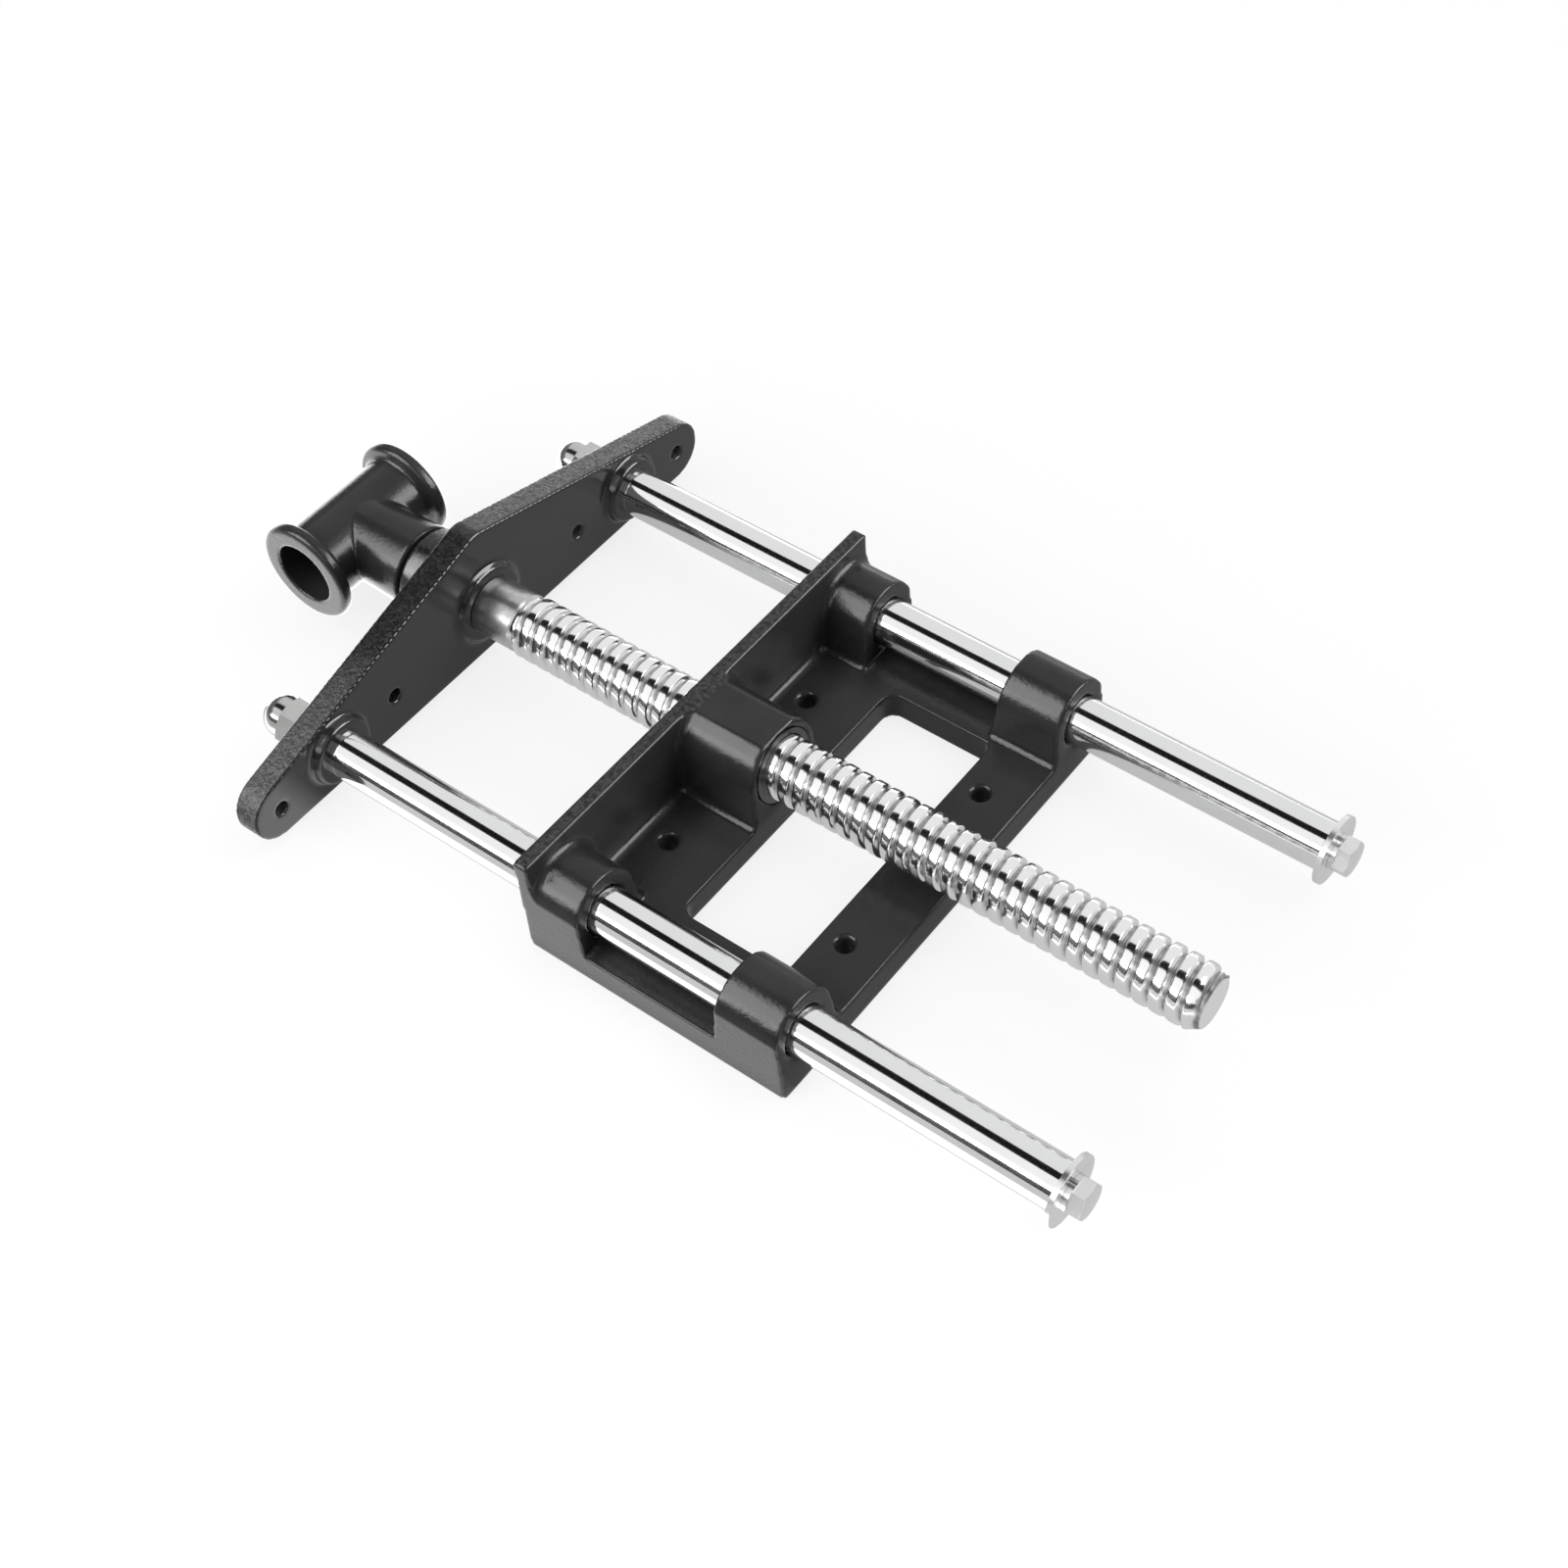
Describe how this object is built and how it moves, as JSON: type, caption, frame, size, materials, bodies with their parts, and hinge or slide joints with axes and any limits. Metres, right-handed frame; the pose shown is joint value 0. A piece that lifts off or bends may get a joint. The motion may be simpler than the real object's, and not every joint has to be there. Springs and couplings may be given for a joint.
{
  "type": "woodworking front vise",
  "caption": "Front vise for a woodworking bench: cast jaws, guide rods and a lead screw with a cross hole for the handle.",
  "frame": {"origin": "middle of the four base screw holes, on the underside of the base", "axes": "+X along the screw from the front jaw to the tail, +Y to the left guide rod as the operator sees it, +Z away from the base's flat underside"},
  "size_m": [0.4228, 0.258, 0.0644],
  "materials": {
    "black_paint": "satin black enamel over sand-cast iron",
    "chromed_rod": "bright chrome plate on ground bar",
    "bright_screw": "bright zinc plate on a rolled thread",
    "nickel": "bright nickel plate",
    "zinc": "pale zinc plate",
    "dark_steel": "oiled dark steel"
  },
  "bodies": {
    "rear_jaw": {"rear_jaw_casting": "black_paint", "screw_nut": "dark_steel", "nut_grub_screw": "dark_steel"},
    "moving_jaw": {"front_jaw_casting": "black_paint", "guide_rod_left": "chromed_rod", "guide_rod_right": "chromed_rod", "dome_nut_left": "nickel", "dome_nut_right": "nickel", "front_lock_washer_left": "zinc", "front_lock_washer_right": "zinc", "end_washer_left": "zinc", "end_washer_right": "zinc", "end_lock_washer_left": "zinc", "end_lock_washer_right": "zinc", "end_bolt_left": "zinc", "end_bolt_right": "zinc"},
    "screw": {"lead_screw": "bright_screw", "handle_tee": "black_paint", "hub_pin": "dark_steel", "thrust_washer": "dark_steel"}
  },
  "joints": [
    {"name": "jaw_slide", "type": "slide", "parent": "rear_jaw", "child": "moving_jaw", "axis": [1, 0, 0], "range_m": [-0.103, 0.094]},
    {"name": "screw_turn", "type": "hinge", "parent": "moving_jaw", "child": "screw", "pos_m": [-0.1625, 0, 0.029], "axis": [1, 0, 0], "range_deg": [-5705, 5207]}
  ],
  "couplings": [
    {"joint": "screw_turn", "follows": "jaw_slide", "rad_per_m": 966.64}
  ]
}
